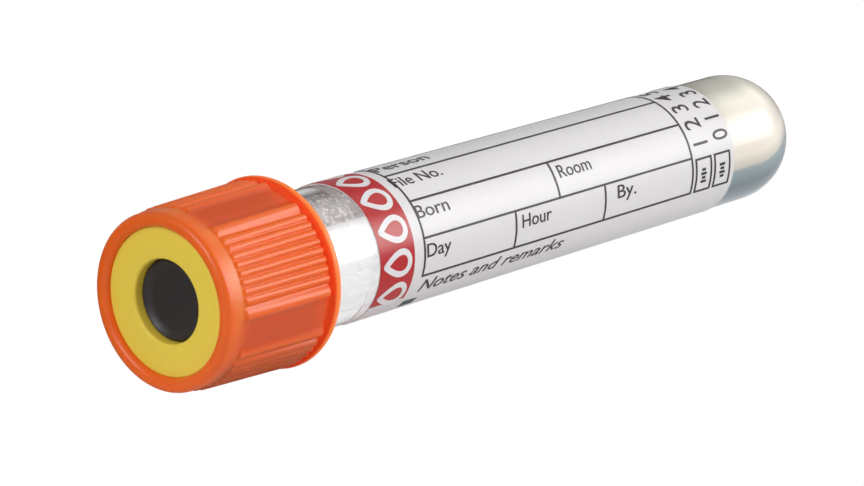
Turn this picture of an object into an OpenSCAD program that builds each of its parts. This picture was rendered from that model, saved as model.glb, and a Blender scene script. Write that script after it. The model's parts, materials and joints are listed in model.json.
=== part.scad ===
// Blood collection tube: a round-bottomed clear tube with separator gel and a wrapped label,
// closed by a rubber stopper that is carried in a ridged twist-off cap.
//
// Every piece is drawn upright around Z, from the cap's front crest (z = 0) to the round end,
// and lay_down() then puts it on its side, resting on the cap's rear bead and the round end.
// Angles around the axis are counted from the top of the lying tube towards its front side (-Y).

/* [Tube] */
// Length from the mouth to the tip of the round end
tube_len = 75; // [60:1:100]
// Outer diameter at the mouth
tube_mouth_d = 12.9; // [12.5:0.05:13.2]
// Outside draft: radius lost for each millimetre towards the round end
tube_draft = 0.008; // [0.002:0.001:0.01]
// Wall thickness
tube_wall = 0.95; // [0.8:0.05:1.1]

/* [Thread] */
// Axial travel for one full turn of the cap
thread_lead = 6; // [5:0.25:8]
// Number of starts
thread_starts = 2; // [1:1:3]
// Length of each thread along the turn, in degrees
thread_sweep = 150; // [90:5:170]
// Height of the tube's thread above its wall
thread_height = 0.42; // [0.3:0.02:0.45]
// Axial thickness of a thread at its root
thread_root_w = 0.9; // [0.6:0.05:1]
// Axial thickness of a thread at its crest
thread_crest_w = 0.5; // [0.3:0.05:0.6]
// Radial room between a thread's crest and the wall it passes
thread_clearance = 0.15; // [0.1:0.01:0.25]
// Distance from the mouth to the start of the tube's thread
thread_from_mouth = 2; // [1.6:0.1:2.4]

/* [Cap] */
// Length of the cap
cap_len = 14.1; // [13.5:0.1:18]
// Radius of the smooth band behind the front lip
cap_front_r = 8.08; // [8:0.02:8.4]
// Radius of the panels where they meet the rear bead
cap_rear_r = 8.15; // [8.1:0.02:8.6]
// Radius of the rounded front lip's edge
lip_round_r = 0.6; // [0.4:0.05:0.7]
// Radius of the rear bead's round section
bead_round_r = 0.6; // [0.4:0.05:0.8]
// Outer radius of the rear bead
bead_r = 8.7; // [8.6:0.05:9.5]
// Distance over which the wall flares out to the rear bead
bead_flare = 0.8; // [0.7:0.1:2]
// Chamfer inside the front lip
lip_chamfer = 0.5; // [0.3:0.05:0.6]
// Lead-in at the rear of the bore
lead_in = 0.3; // [0.2:0.05:0.5]
// Depth of the front pocket that holds the ring
pocket_depth = 2.2; // [2:0.1:2.6]
// Thickness of the inner flange under the pocket
flange_t = 1; // [0.8:0.1:1.4]

/* [Ribs] */
// Number of rib groups around the cap
rib_groups = 4; // [2:1:4]
// Fine ribs in each group, between its two broad ribs
fine_ribs = 8; // [5:1:9]
// Angle between two fine ribs
rib_pitch = 5.8; // [5:0.1:6]
// Angle between the last fine rib and the broad rib beside it
broad_rib_gap = 8.9; // [6:0.1:9.5]
// Angle of the first group's middle, from the top towards the front
rib_turn = 59; // [0:1:89]
// Half-width of a fine rib
fine_rib_r = 0.3; // [0.2:0.01:0.34]
// Half-width of a broad rib
broad_rib_r = 0.55; // [0.35:0.01:0.6]
// Radius to a rib's top at its front end
rib_front_r = 8.27; // [8.2:0.01:8.6]
// Radius to a rib's top at its rear end
rib_rear_r = 8.48; // [8.3:0.01:8.8]
// How much higher the broad ribs stand
broad_rib_rise = 0.05; // [0:0.01:0.1]
// Distance from the cap's crest to the ribs
rib_start = 2.05; // [1.8:0.05:3]

/* [Ring] */
// Radius of the hole for the needle
ring_hole_r = 3.8; // [3:0.1:4.2]
// Outer radius
ring_r = 6.69; // [6.4:0.01:6.8]
// Depth of the ring's face below the cap's crest
ring_recess = 0.65; // [0.3:0.05:0.9]
// Section radius of the snap bead
ring_snap_r = 0.25; // [0.2:0.01:0.3]
// How much wider the hole is behind the rim that guides the needle
ring_relief = 0.6; // [0.55:0.05:1.2]
// Space between that rim and the stopper's face
rim_gap = 0.3; // [0.2:0.05:0.4]

/* [Stopper] */
// Depth of the stopper's face below the ring's face
face_recess = 0.8; // [0.6:0.05:1.25]
// Radial room around the stopper's boss inside the ring's hole
boss_clearance = 0.08; // [0.05:0.01:0.15]
// Rounding of the boss's edge
boss_round_r = 0.3; // [0.2:0.05:0.6]
// Radial room between the collar and the cap's bore
collar_clearance = 0.12; // [0.08:0.01:0.2]
// Length of the collar's full width
collar_len = 2.6; // [2:0.1:3]
// Length of the collar's narrow foot, which stands over the tube's mouth
foot_len = 0.92; // [0.85:0.01:1.5]
// Section radius of the cap's bead that carries the collar
retainer_r = 0.35; // [0.25:0.01:0.4]
// Length of the plug below the tube's mouth
plug_len = 7; // [6:0.1:9]
// Radius of the plug between its sealing beads
plug_r = 5.2; // [5:0.05:5.3]
// Section radius of a sealing bead
seal_bead_r = 0.55; // [0.4:0.05:0.7]
// Distance from the tube's mouth to the first sealing bead
seal_from_mouth = 1.5; // [1.2:0.1:1.8]
// Distance between the two sealing beads
seal_pitch = 3.2; // [2.4:0.1:3.2]
// Radius of the hollow under the plug
hollow_r = 3.4; // [2.5:0.1:3.8]
// Depth of the hollow under the plug
hollow_depth = 4; // [3:0.1:6]

/* [Gel] */
// Length of the gel along its longest side, to the tip of the round end
gel_len = 26; // [22:1:34]
// Slope of the gel's inner end, in degrees from the axis
gel_slope = 35; // [30:1:60]
// Angle of the longest side: the heavy side, which the tube lies on
gel_turn = 188; // [170:1:190]

/* [Label] */
// Length of the label
label_len = 49; // [40:0.5:52]
// Distance from the tube's mouth to the label
label_from_mouth = 14.5; // [9:0.5:18]
// Thickness of the label
label_t = 0.08; // [0.05:0.01:0.15]
// Angle of the middle of the clear strip that the label leaves open
strip_turn = 217; // [205:0.5:220]
// Angle that the clear strip covers
strip_sweep = 110; // [60:1:115]
// Thickness of the ink
ink_t = 0.04; // [0.03:0.01:0.06]
// Width of the red band
band_w = 4.54; // [3:0.1:6]
// Angle where the red band ends, low on the front side
band_end_angle = 126; // [100:1:140]
// Thickness of the ruled lines
line_w = 0.2; // [0.15:0.01:0.3]
// Distance from the label's edge to the ruled form
form_margin = 5.93; // [5:0.1:8]
// Length of the ruled form
form_len = 37.1; // [28:0.1:37.2]
// Angle of the form's lowest line
form_low_angle = 106.6; // [90:1:120]
// Angle between two lines of the form
row_angle = 31.9; // [20:0.5:35]
// Cells in each row of the form, from the lowest row up
form_cells = [3, 2, 1, 1]; // [1:1:4]
// Angle of a small box at the form's end
box_angle = 29.5; // [20:0.5:32]
// Width of a small box
box_w = 2.1; // [1.5:0.1:2.2]
// Space beside a small box
box_gap = 0.55; // [0.4:0.05:0.7]

/* [Hidden] */

// Clearances between pieces
slip = 0.05;             // pieces that turn or slide against each other
seal_clearance = 0.04;   // sealing beads in the tube's bore
wrap_clearance = 0.02;   // label on the tube, gel in the tube, ring on the cap's flange
foot_clearance = 0.2;    // stopper's foot inside the cap's bead
cut = 1;                 // how far a cutting shape reaches past what it cuts

// Chamfers of the stopper's edges
collar_edge = 0.2;
plug_edge = 0.4;

// Places along the axis, from the cap's crest
collar_z = pocket_depth + flange_t + slip;
foot_z = collar_z + collar_len;
mouth_z = foot_z + foot_len + slip;
face_z = ring_recess + face_recess;
snap_z = (ring_recess + pocket_depth) / 2 + ring_snap_r;
bead_z = cap_len - bead_round_r;
rib_len = bead_z - rib_start;

// Tube: the cone's length and end radius follow from the draft
mouth_r = tube_mouth_d / 2;
cone_len = (tube_len - mouth_r) / (1 - tube_draft);
end_r = mouth_r - tube_draft * cone_len;
end_z = mouth_z + cone_len;

// Cap bores and what turns in them
thread_r = mouth_r + thread_height;
cap_bore_r = thread_r + thread_clearance;
ring_bore_r = ring_r + slip;
boss_r = ring_hole_r - boss_clearance;
relief_r = ring_hole_r + ring_relief;
collar_r = cap_bore_r - collar_clearance;
retainer_circle_r = cap_bore_r;
foot_r = retainer_circle_r - retainer_r - foot_clearance;

// Thread: both halves follow one helix, half a pitch apart
thread_steps = 30;       // rings along one start
thread_run = 0.16;       // share of a start that runs in, and out
thread_root = 0.15;      // how far a thread reaches into its wall
tube_thread_z = mouth_z + thread_from_mouth;
cap_thread_z = tube_thread_z + thread_lead / thread_starts / 2;

// Label and ink, as heights above the tube's wall
label_z = mouth_z + label_from_mouth;
label_out = wrap_clearance + label_t;
ink_out = label_out + ink_t;
label_from = strip_turn + strip_sweep / 2 - 360;
form_z = label_z + form_margin;

// Resting place: the line that touches the rear bead and the round end
bead_circle_r = bead_r - bead_round_r;
lip_circle_r = cap_front_r - lip_round_r;
span = end_z - bead_z;
rest_tilt = atan2(bead_circle_r, span)
    - asin((end_r - bead_round_r) / norm([bead_circle_r, span]));
axis_x_min = lip_round_r * cos(rest_tilt) - lip_circle_r * sin(rest_tilt) - lip_round_r;
axis_x_max = end_z * cos(rest_tilt) + end_r;
crest_x = -(axis_x_min + axis_x_max) / 2;
crest_z = end_r + end_z * sin(rest_tilt);

$fn = 96;

// ---- shared shapes ----

// Outer radius of the tube's cone at a place along the axis
function tube_r(z) = mouth_r - tube_draft * (z - mouth_z);

// Bore radius of the tube at a place along the axis
function bore_r(z) = tube_r(z) - tube_wall;

// Angle that a width covers on the tube's wall
function angle_of(width, z) = width / (tube_r(z) + label_out) * 180 / PI;

// Puts an upright piece on its side, at its resting tilt
module lay_down() {
    translate([crest_x, 0, crest_z])
        rotate([0, 90 + rest_tilt, 0])
            rotate([0, 0, 180])
                children();
}

// Solid of the tube's outer form, grown by a distance
module tube_form(grow) {
    rotate_extrude()
        polygon([
            [0, mouth_z],
            [mouth_r + grow, mouth_z],
            [end_r + grow, end_z],
            [0, end_z]
        ]);
    translate([0, 0, end_z])
        sphere(r = end_r + grow);
}

// Film on the tube's cone, between two heights above its wall
module wrap_patch(z, len, from, sweep, low, high) {
    rotate([0, 0, from])
        rotate_extrude(angle = sweep)
            polygon([
                [tube_r(z) + low, z],
                [tube_r(z) + high, z],
                [tube_r(z + len) + high, z + len],
                [tube_r(z + len) + low, z + len]
            ]);
}

// Patch of ink on the label
module ink_patch(z, len, from, sweep) {
    wrap_patch(z, len, from, sweep, label_out, ink_out);
}

// Ring of round section around the axis
module round_ring(circle_r, z, section_r) {
    rotate_extrude()
        translate([circle_r, z])
            circle(r = section_r);
}

// Height of a thread along its length: 0 at both ends, 1 between its ramps
function thread_rise(t) =
    let (u = min(1, t / thread_run, (1 - t) / thread_run)) u * u * (3 - 2 * u);

// Section of a thread at a share t of its length, as four corners in space
function thread_ring(t, z, wall_r, crest_r, from) =
    let (
        way = sign(crest_r - wall_r),
        root_r = wall_r - way * thread_root,
        top_r = wall_r + (crest_r - wall_r) * thread_rise(t),
        angle = from + t * thread_sweep,
        lift = z + thread_lead * t * thread_sweep / 360,
        half_root = way * thread_root_w / 2,
        half_crest = way * thread_crest_w / 2
    )
    [for (c = [[root_r, -half_root], [root_r, half_root], [top_r, half_crest], [top_r, -half_crest]])
        [c[0] * cos(angle), c[0] * sin(angle), lift + c[1]]];

// One thread start: a trapezoid swept along a right-handed helix
module thread_start(z, wall_r, crest_r, from) {
    points = [for (i = [0 : thread_steps])
        each thread_ring(i / thread_steps, z, wall_r, crest_r, from)];
    sides = [for (i = [0 : thread_steps - 1]) for (j = [0 : 3])
        let (a = 4 * i + j, b = 4 * i + (j + 1) % 4)
        each [[a, a + 4, b + 4], [a, b + 4, b]]];
    e = 4 * thread_steps;
    ends = [[0, 1, 2], [0, 2, 3], [e + 2, e + 1, e], [e + 3, e + 2, e]];
    polyhedron(points, concat(sides, ends));
}

module thread(z, wall_r, crest_r) {
    for (i = [0 : thread_starts - 1])
        thread_start(z, wall_r, crest_r, i * 360 / thread_starts);
}

// ---- tube ----

module tube() {
    color([0.82, 0.88, 0.92, 0.45])
        lay_down() {
            difference() {
                tube_form(0);
                tube_form(-tube_wall);
                translate([0, 0, mouth_z - cut])
                    cylinder(r = mouth_r - tube_wall, h = cut);
            }
            thread(tube_thread_z, tube_r(tube_thread_z), thread_r);
        }
}

// ---- screw cap ----

// Outer form of the cap without its ribs
module cap_form() {
    bead_side = bead_round_r * sin(45);
    rotate_extrude() {
        polygon([
            [0, 0],
            [lip_circle_r, 0],
            [lip_circle_r, lip_round_r],
            [cap_front_r, lip_round_r],
            [cap_rear_r, bead_z - bead_flare],
            [bead_circle_r + bead_side, bead_z - bead_side],
            [bead_circle_r, cap_len],
            [0, cap_len]
        ]);
        translate([lip_circle_r, lip_round_r])
            circle(r = lip_round_r);
        translate([bead_circle_r, bead_z])
            circle(r = bead_round_r);
    }
}

// One rib: a round bar along the cap that follows its draft
module rib(angle, half_width, rise) {
    rotate([0, 0, angle])
        translate([rib_front_r + rise - half_width, 0, rib_start])
            rotate([0, atan((rib_rear_r - rib_front_r) / rib_len), 0])
                cylinder(r = half_width, h = rib_len);
}

module rib_group() {
    last = (fine_ribs - 1) / 2;
    for (i = [-last : last])
        rib(i * rib_pitch, fine_rib_r, 0);
    for (side = [-1, 1])
        rib(side * (last * rib_pitch + broad_rib_gap), broad_rib_r, broad_rib_rise);
}

module cap_bores() {
    // pocket for the ring, with its chamfered lip and snap groove
    translate([0, 0, -cut])
        cylinder(r = ring_bore_r, h = pocket_depth + cut);
    translate([0, 0, -lip_chamfer])
        cylinder(r1 = ring_bore_r + 2 * lip_chamfer, r2 = ring_bore_r, h = 2 * lip_chamfer);
    round_ring(ring_r, snap_z, ring_snap_r + slip);
    // hole in the inner flange for the stopper's boss
    cylinder(r = relief_r, h = collar_z);
    // chamber for the collar and the tube's mouth, with a lead-in at the rear
    translate([0, 0, pocket_depth + flange_t])
        cylinder(r = cap_bore_r, h = cap_len);
    translate([0, 0, cap_len - lead_in])
        cylinder(r1 = cap_bore_r, r2 = cap_bore_r + 2 * lead_in, h = 2 * lead_in);
}

module screw_cap() {
    color([0.93, 0.38, 0.18])
        lay_down() {
            difference() {
                union() {
                    cap_form();
                    for (i = [0 : rib_groups - 1])
                        rotate([0, 0, rib_turn + i * 360 / rib_groups])
                            rib_group();
                }
                cap_bores();
            }
            // bead under the stopper's collar, which lifts the stopper with the cap
            round_ring(retainer_circle_r, foot_z + slip + retainer_r, retainer_r);
            thread(cap_thread_z, cap_bore_r, mouth_r + thread_clearance);
        }
}

// ---- safety ring ----

module safety_ring() {
    back_z = pocket_depth - wrap_clearance;
    color([0.87, 0.76, 0.30])
        lay_down()
            difference() {
                union() {
                    translate([0, 0, ring_recess])
                        cylinder(r = ring_r, h = back_z - ring_recess);
                    round_ring(ring_r, snap_z, ring_snap_r);
                }
                translate([0, 0, ring_recess - cut])
                    cylinder(r = ring_hole_r, h = pocket_depth + cut);
                // wider behind the rim, around the stopper's boss
                translate([0, 0, face_z - rim_gap])
                    cylinder(r = relief_r, h = pocket_depth);
            }
}

// ---- stopper ----

module stopper() {
    plug_end_z = mouth_z + plug_len;
    hollow_z = plug_end_z - hollow_depth + hollow_r;
    color([0.20, 0.17, 0.17])
        lay_down()
            difference() {
                rotate_extrude() {
                    // boss that shows through the ring
                    polygon([
                        [0, face_z],
                        [boss_r - boss_round_r, face_z],
                        [boss_r - boss_round_r, face_z + boss_round_r],
                        [boss_r, face_z + boss_round_r],
                        [boss_r, collar_z + collar_edge],
                        [0, collar_z + collar_edge]
                    ]);
                    translate([boss_r - boss_round_r, face_z + boss_round_r])
                        circle(r = boss_round_r);
                    // collar, foot and plug
                    polygon([
                        [0, collar_z],
                        [collar_r - collar_edge, collar_z],
                        [collar_r, collar_z + collar_edge],
                        [collar_r, foot_z - collar_edge],
                        [collar_r - collar_edge, foot_z],
                        [foot_r, foot_z],
                        [foot_r, mouth_z - slip],
                        [plug_r, mouth_z - slip],
                        [plug_r, plug_end_z - plug_edge],
                        [plug_r - plug_edge, plug_end_z],
                        [0, plug_end_z]
                    ]);
                    for (i = [0, 1]) {
                        z = mouth_z + seal_from_mouth + i * seal_pitch;
                        translate([bore_r(z) - seal_clearance - seal_bead_r, z])
                            circle(r = seal_bead_r);
                    }
                }
                // hollow under the plug, with a rounded roof
                translate([0, 0, hollow_z])
                    cylinder(r = hollow_r, h = hollow_depth);
                translate([0, 0, hollow_z])
                    sphere(r = hollow_r);
            }
}

// ---- separator gel ----

module separator_gel() {
    wall_r = end_r - tube_wall;
    long_z = end_z + wall_r - gel_len;
    short_z = long_z + 2 * wall_r / tan(gel_slope);
    past_wall = cut / tan(gel_slope);
    color([0.96, 0.93, 0.86])
        lay_down()
            intersection() {
                tube_form(-tube_wall - wrap_clearance);
                rotate([0, 0, gel_turn])
                    rotate([90, 0, 0])
                        linear_extrude(height = 2 * mouth_r, center = true)
                            polygon([
                                [-wall_r - cut, short_z + past_wall],
                                [wall_r + cut, long_z - past_wall],
                                [wall_r + cut, end_z + end_r],
                                [-wall_r - cut, end_z + end_r]
                            ]);
            }
}

// ---- label and its print ----

module label() {
    color([0.93, 0.93, 0.94])
        lay_down()
            wrap_patch(label_z, label_len, label_from, 360 - strip_sweep, wrap_clearance, label_out);
}

module label_red_band() {
    color([0.70, 0.12, 0.15])
        lay_down()
            ink_patch(label_z, band_w, label_from, band_end_angle - label_from);
}

// Ruled grid: a patch of ink with a window for each cell, rows listed from the lowest up
module ink_grid(z, len, low, row_sweep, rows) {
    half = line_w / 2;
    half_angle = angle_of(half, z);
    high = low - len(rows) * row_sweep;
    difference() {
        ink_patch(z - half, len + line_w, high - half_angle, low - high + 2 * half_angle);
        for (row = [0 : len(rows) - 1])
            for (cell = [0 : rows[row] - 1])
                wrap_patch(z + len * cell / rows[row] + half, len / rows[row] - line_w,
                    low - (row + 1) * row_sweep + half_angle, row_sweep - 2 * half_angle,
                    label_out - ink_t, ink_out + ink_t);
    }
}

module label_ruled_form() {
    color([0.16, 0.13, 0.14])
        lay_down() {
            ink_grid(form_z, form_len, form_low_angle, row_angle, form_cells);
            // two small boxes beyond the form
            for (i = [0, 1])
                ink_grid(form_z + form_len + box_gap + i * (box_w + box_gap), box_w,
                    form_low_angle, box_angle, [1]);
        }
}

tube();
screw_cap();
safety_ring();
stopper();
separator_gel();
label();
label_red_band();
label_ruled_form();
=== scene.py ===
# %% [markdown]
# # Dressing a blood collection tube
# The imported model gives every piece of the tube its real size and place. This lesson adds the looks:
# smooth moulded plastic, rubber, a clear tube with milky gel, and a printed film label.
# First we load the frame and note how big the bare model is, which the looks are meant to keep.

# %% Load the frame
import json
import math

import bmesh
import bpy
from mathutils import Matrix, Vector


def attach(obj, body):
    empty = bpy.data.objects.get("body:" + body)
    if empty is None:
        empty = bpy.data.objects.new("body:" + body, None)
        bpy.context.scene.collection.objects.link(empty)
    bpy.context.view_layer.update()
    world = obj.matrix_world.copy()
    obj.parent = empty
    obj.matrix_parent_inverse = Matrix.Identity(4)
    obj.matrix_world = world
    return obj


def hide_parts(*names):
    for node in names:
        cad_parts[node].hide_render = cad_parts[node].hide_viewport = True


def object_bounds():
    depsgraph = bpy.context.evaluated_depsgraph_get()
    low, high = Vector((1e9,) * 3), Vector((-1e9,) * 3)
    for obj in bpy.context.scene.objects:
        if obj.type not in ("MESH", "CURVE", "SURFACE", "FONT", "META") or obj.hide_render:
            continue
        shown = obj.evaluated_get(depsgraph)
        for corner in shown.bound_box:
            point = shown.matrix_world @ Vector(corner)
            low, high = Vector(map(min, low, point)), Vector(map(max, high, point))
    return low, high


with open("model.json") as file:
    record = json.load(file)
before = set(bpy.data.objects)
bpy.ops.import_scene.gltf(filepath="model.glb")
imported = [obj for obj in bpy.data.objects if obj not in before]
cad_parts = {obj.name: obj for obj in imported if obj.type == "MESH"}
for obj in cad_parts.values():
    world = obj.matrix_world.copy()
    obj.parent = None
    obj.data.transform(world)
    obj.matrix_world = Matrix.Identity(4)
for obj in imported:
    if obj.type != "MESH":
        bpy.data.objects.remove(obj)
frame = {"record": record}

cad_low, cad_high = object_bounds()
print("bare model, mm:", [round(1000 * side, 2) for side in cad_high - cad_low])

# %% [markdown]
# ## Working upright
# The tube lies on its side, a little tilted, and round things are far easier to draw around an
# upright axis. So every piece is drawn in millimetres around Z, from the cap's front (height 0) to
# the round end, and one matrix lays it down in its real place. The needle's port is a mount on the
# axis, so its place and direction tell us where that axis is.

# %% The matrix that lays a piece down
MM = 0.001
PORT_DEPTH = 0.9                      # from the cap's front to the middle of the port's wall
port = next(mount for mount in frame["record"]["mounts"] if mount["name"] == "needle_port")
along = -Vector(port["axis"]).normalized()
front = Vector((0, -1, 0))
top = front.cross(along)
crest = Vector(port["pos_m"]) - along * PORT_DEPTH * MM
LAY_DOWN = Matrix((top, front, along)).transposed().to_4x4()
LAY_DOWN = Matrix.Translation(crest) @ LAY_DOWN @ Matrix.Scale(MM, 4)
print("axis dips by", round(math.degrees(math.asin(-along.z)), 2), "degrees")

# %% [markdown]
# ## The sizes
# These are the model's own sizes. Pieces that fit together read the same values here too, so a
# label stays on its tube and a thread on its wall.

# %% Sizes in millimetres, and angles in degrees from the top of the lying tube
MOUTH_Z, TUBE_LENGTH, MOUTH_R, DRAFT, WALL = 6.82, 75.0, 6.45, 0.008, 0.95
CONE_LENGTH = (TUBE_LENGTH - MOUTH_R) / (1 - DRAFT)
END_Z, END_R = MOUTH_Z + CONE_LENGTH, MOUTH_R - DRAFT * CONE_LENGTH
CAP_LENGTH, CAP_FRONT_R, CAP_REAR_R, BEAD_R, EDGE_R = 14.1, 8.08, 8.15, 8.7, 0.6
POCKET_DEPTH, FLANGE, CAP_BORE_R, RING_R, HOLE_R = 2.2, 1.0, 7.02, 6.69, 3.8
RING_Z, FACE_Z, COLLAR_Z, COLLAR_LENGTH = 0.65, 1.45, 3.25, 2.6
LABEL_Z, LABEL_LENGTH, LABEL_FROM, LABEL_SWEEP = 21.32, 49.0, -88.0, 250.0
LABEL_LOW, LABEL_HIGH, INK = 0.02, 0.10, 0.04


def tube_r(z):
    """Outer radius of the tube's cone at a height."""
    return MOUTH_R - DRAFT * (z - MOUTH_Z)


print("round end: centre at", round(END_Z, 2), "mm, radius", round(END_R, 2), "mm")

# %% [markdown]
# ## Turning a profile
# Almost everything here was turned or moulded round, so its whole shape is one profile swept around
# the axis. Blender's Screw modifier could do that. A short function of our own is better here,
# because it puts extra slices just where the ribs will be, closes the poles with a single point, and
# always gives a closed skin with its faces outwards.

# %% Profile helpers and the lathe


def arc(z, r, radius, start, end, steps=8):
    """Points on a round edge: 0 degrees points along the axis, 90 degrees points outwards."""
    angles = [math.radians(start + (end - start) * i / steps) for i in range(steps + 1)]
    return [(z + radius * math.cos(a), r + radius * math.sin(a)) for a in angles]


def rings(z_from, z_to, r_from, r_to, step):
    """Evenly spaced rings along a straight stretch of wall."""
    count = max(1, round(abs(z_to - z_from) / step))
    shares = [i / count for i in range(count + 1)]
    return [(z_from + (z_to - z_from) * s, r_from + (r_to - r_from) * s) for s in shares]


def even_slices(count):
    return [360 * i / count for i in range(count)]


def as_mesh(build, name):
    """Turns a bmesh into a mesh."""
    mesh = bpy.data.meshes.new(name)
    build.to_mesh(mesh)
    build.free()
    return mesh


def tidy(build, crease=40):
    """Merges doubles, points faces outwards, and returns a smooth mesh with sharp creases."""
    bmesh.ops.remove_doubles(build, verts=build.verts, dist=1e-4)
    bmesh.ops.recalc_face_normals(build, faces=build.faces)
    mesh = as_mesh(build, "draft")
    mesh.shade_smooth()
    mesh.set_sharp_from_angle(angle=math.radians(crease))
    return mesh


def lathe(profile, slices, crease=40):
    """Sweeps a closed profile of (height, radius) points around Z. Radius 0 gives a pole."""
    build = bmesh.new()
    turns = [math.radians(a) for a in slices]
    loops = []
    for z, r in profile:
        if r < 1e-6:
            loops.append([build.verts.new((0, 0, z))] * len(turns))
        else:
            loops.append([build.verts.new((r * math.cos(a), r * math.sin(a), z)) for a in turns])
    for lower, upper in zip(loops, loops[1:] + loops[:1]):
        for i in range(len(turns)):
            j = (i + 1) % len(turns)
            corners = list(dict.fromkeys((lower[i], lower[j], upper[j], upper[i])))
            if len(corners) > 2:
                build.faces.new(corners)
    return tidy(build, crease)


def add_object(name, data):
    """Puts a new object into the scene."""
    made = bpy.data.objects.new(name, data)
    bpy.context.scene.collection.objects.link(made)
    return made


def add_piece(name, mesh, body, slot, material, *stands_for):
    """Lays a finished mesh down in its place, hangs it on its body, and hides the parts it stands for.
    """
    mesh.transform(LAY_DOWN)
    mesh.name = name
    mesh.materials.clear()
    mesh.materials.append(material)
    piece = add_object(name, mesh)
    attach(piece, body)
    if stands_for:
        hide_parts(*stands_for)
    mesh.calc_loop_triangles()
    print(name, "has", len(mesh.loop_triangles), "triangles")
    return piece


print("a test arc ends at", arc(0, 1, 0.5, 0, 90)[-1])

# %% [markdown]
# ## Building trees in code
# Geometry Nodes and shader nodes are both trees of nodes and links. One helper adds a node and fills
# its inputs, from plain values or from other nodes' outputs. What it gives back can stand in a sum
# like a number, and each sum adds a Math node, so that a formula in a tree reads like a formula.

# %% Node helpers


class Out:
    """One output of a node, which can be used in sums as if it were a plain number."""

    def __init__(self, socket):
        self.socket, self.tree = socket, socket.id_data

    def math(self, operation, *others):
        return node(self.tree, "ShaderNodeMath", self, *others, operation=operation)

    def __add__(self, other):
        return self.math("ADD", other)

    def __sub__(self, other):
        return self.math("SUBTRACT", other)

    def __rsub__(self, other):
        return node(self.tree, "ShaderNodeMath", other, self, operation="SUBTRACT")

    def __mul__(self, other):
        return self.math("MULTIPLY", other)

    def __truediv__(self, other):
        return self.math("DIVIDE", other)

    def __rtruediv__(self, other):
        return node(self.tree, "ShaderNodeMath", other, self, operation="DIVIDE")

    def __pow__(self, power):
        return self.math("POWER", power)

    def __abs__(self):
        return self.math("ABSOLUTE")

    def ramp(self, low, high, to_low=0.0, to_high=1.0, smooth=True):
        """Carries it from one range to another, with soft ends unless smooth is off."""
        return node(self.tree, "ShaderNodeMapRange", self, low, high, to_low, to_high, clamp=True,
                    interpolation_type="SMOOTHSTEP" if smooth else "LINEAR")

    def blend(self, first, second):
        """A colour: the first one where this is 0, and the second one where it is 1."""
        mixer = node(self.tree, "ShaderNodeMix", self, data_type="RGBA").socket.node
        put(first, mixer.inputs[6])
        put(second, mixer.inputs[7])
        return Out(mixer.outputs[2])


def put(value, socket):
    """Links an output to a socket, or gives the socket a plain value."""
    if isinstance(value, Out):
        value.tree.links.new(value.socket, socket)
    else:
        socket.default_value = value


def fill(made, **values):
    """Fills a node's inputs by name. Base_Color stands for Base Color."""
    for name, value in values.items():
        put(value, made.inputs[name.replace("_", " ")])


def node(tree, kind, *values, out=0, **settings):
    """Adds a node, sets its properties and inputs, and returns one output, or all for out=None."""
    made = tree.nodes.new(kind)
    own = {key: value for key, value in settings.items() if hasattr(made, key)}
    for key, value in own.items():
        setattr(made, key, value)
    for i, value in enumerate(values):
        if value is not None:
            put(value, made.inputs[i])
    fill(made, **{key: value for key, value in settings.items() if key not in own})
    if out is None:
        return {socket.name: Out(socket) for socket in made.outputs}
    return Out(made.outputs[out])


def vector_sum(tree, operation, *values, out=0, **settings):
    return node(tree, "ShaderNodeVectorMath", *values, out=out, operation=operation, **settings)


def vector(tree, *parts):
    """A vector put together from its parts along X, Y and Z."""
    return node(tree, "ShaderNodeCombineXYZ", *parts)


def split(place):
    """The parts of a vector along X, Y and Z."""
    return node(place.tree, "ShaderNodeSeparateXYZ", place, out=None)


print("node helpers are ready")

# %% [markdown]
# A tree's own inputs and outputs are named sockets. Each size of a piece becomes such an input, so
# the tree can be read and changed by its sizes. A modifier runs the tree, and its result is kept as
# a plain mesh.

# %% Trees with named sizes


def new_tree(name, kind, inputs, outputs):
    """A tree with named sockets: {name: default value}, or the name of a socket type."""
    kinds = {float: "NodeSocketFloat", int: "NodeSocketInt", tuple: "NodeSocketColor"}
    tree = bpy.data.node_groups.new(name, kind)
    for way, sockets in (("INPUT", inputs), ("OUTPUT", outputs)):
        for label, value in sockets.items():
            plain = not isinstance(value, str)
            socket = tree.interface.new_socket(
                label, in_out=way, socket_type=kinds[type(value)] if plain else value)
            if plain:
                socket.default_value = value
    return tree, node(tree, "NodeGroupInput", out=None), tree.nodes.new("NodeGroupOutput").inputs


def geometry_tree(name, sizes, geometry_in=True):
    """A Geometry Nodes tree with named sizes. Returns the tree, its inputs and its outputs."""
    geometry = {"Geometry": "NodeSocketGeometry"}
    inputs = {**geometry, **sizes} if geometry_in else sizes
    return new_tree(name, "GeometryNodeTree", inputs, geometry)


def finish_tree(geometry, result, material):
    """Ends a tree in Realize Instances and Set Material."""
    tree = geometry.tree
    real = node(tree, "GeometryNodeRealizeInstances", geometry)
    put(node(tree, "GeometryNodeSetMaterial", real, Material=material), result["Geometry"])
    return tree


def run_tree(tree, values, mesh=None):
    """Runs a tree as a modifier, with its inputs set by identifier. Returns a plain mesh."""
    worker = add_object("worker", mesh or bpy.data.meshes.new("empty"))
    tree.is_modifier = True
    modifier = worker.modifiers.new("tree", "NODES")
    modifier.node_group = tree
    for socket in tree.interface.items_tree:
        if socket.in_out == "INPUT" and socket.name in values:
            modifier[socket.identifier] = values[socket.name]
    return plain_mesh(worker)


def plain_mesh(worker):
    """Keeps what a working object looks like as a mesh, and removes the object."""
    evaluated = worker.evaluated_get(bpy.context.evaluated_depsgraph_get())
    result = bpy.data.meshes.new_from_object(evaluated)
    bpy.data.objects.remove(worker)
    return result


print("tree helpers are ready")

# %% [markdown]
# ## Shared surface effects
# Moulded plastic, rubber and film are never perfectly even. One shader group gives them all a fine
# mottle: it shifts the colour a little and adds a shallow bump. A second group turns the place of a
# point into the tube's own terms, so that a finish can follow the tube.

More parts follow.
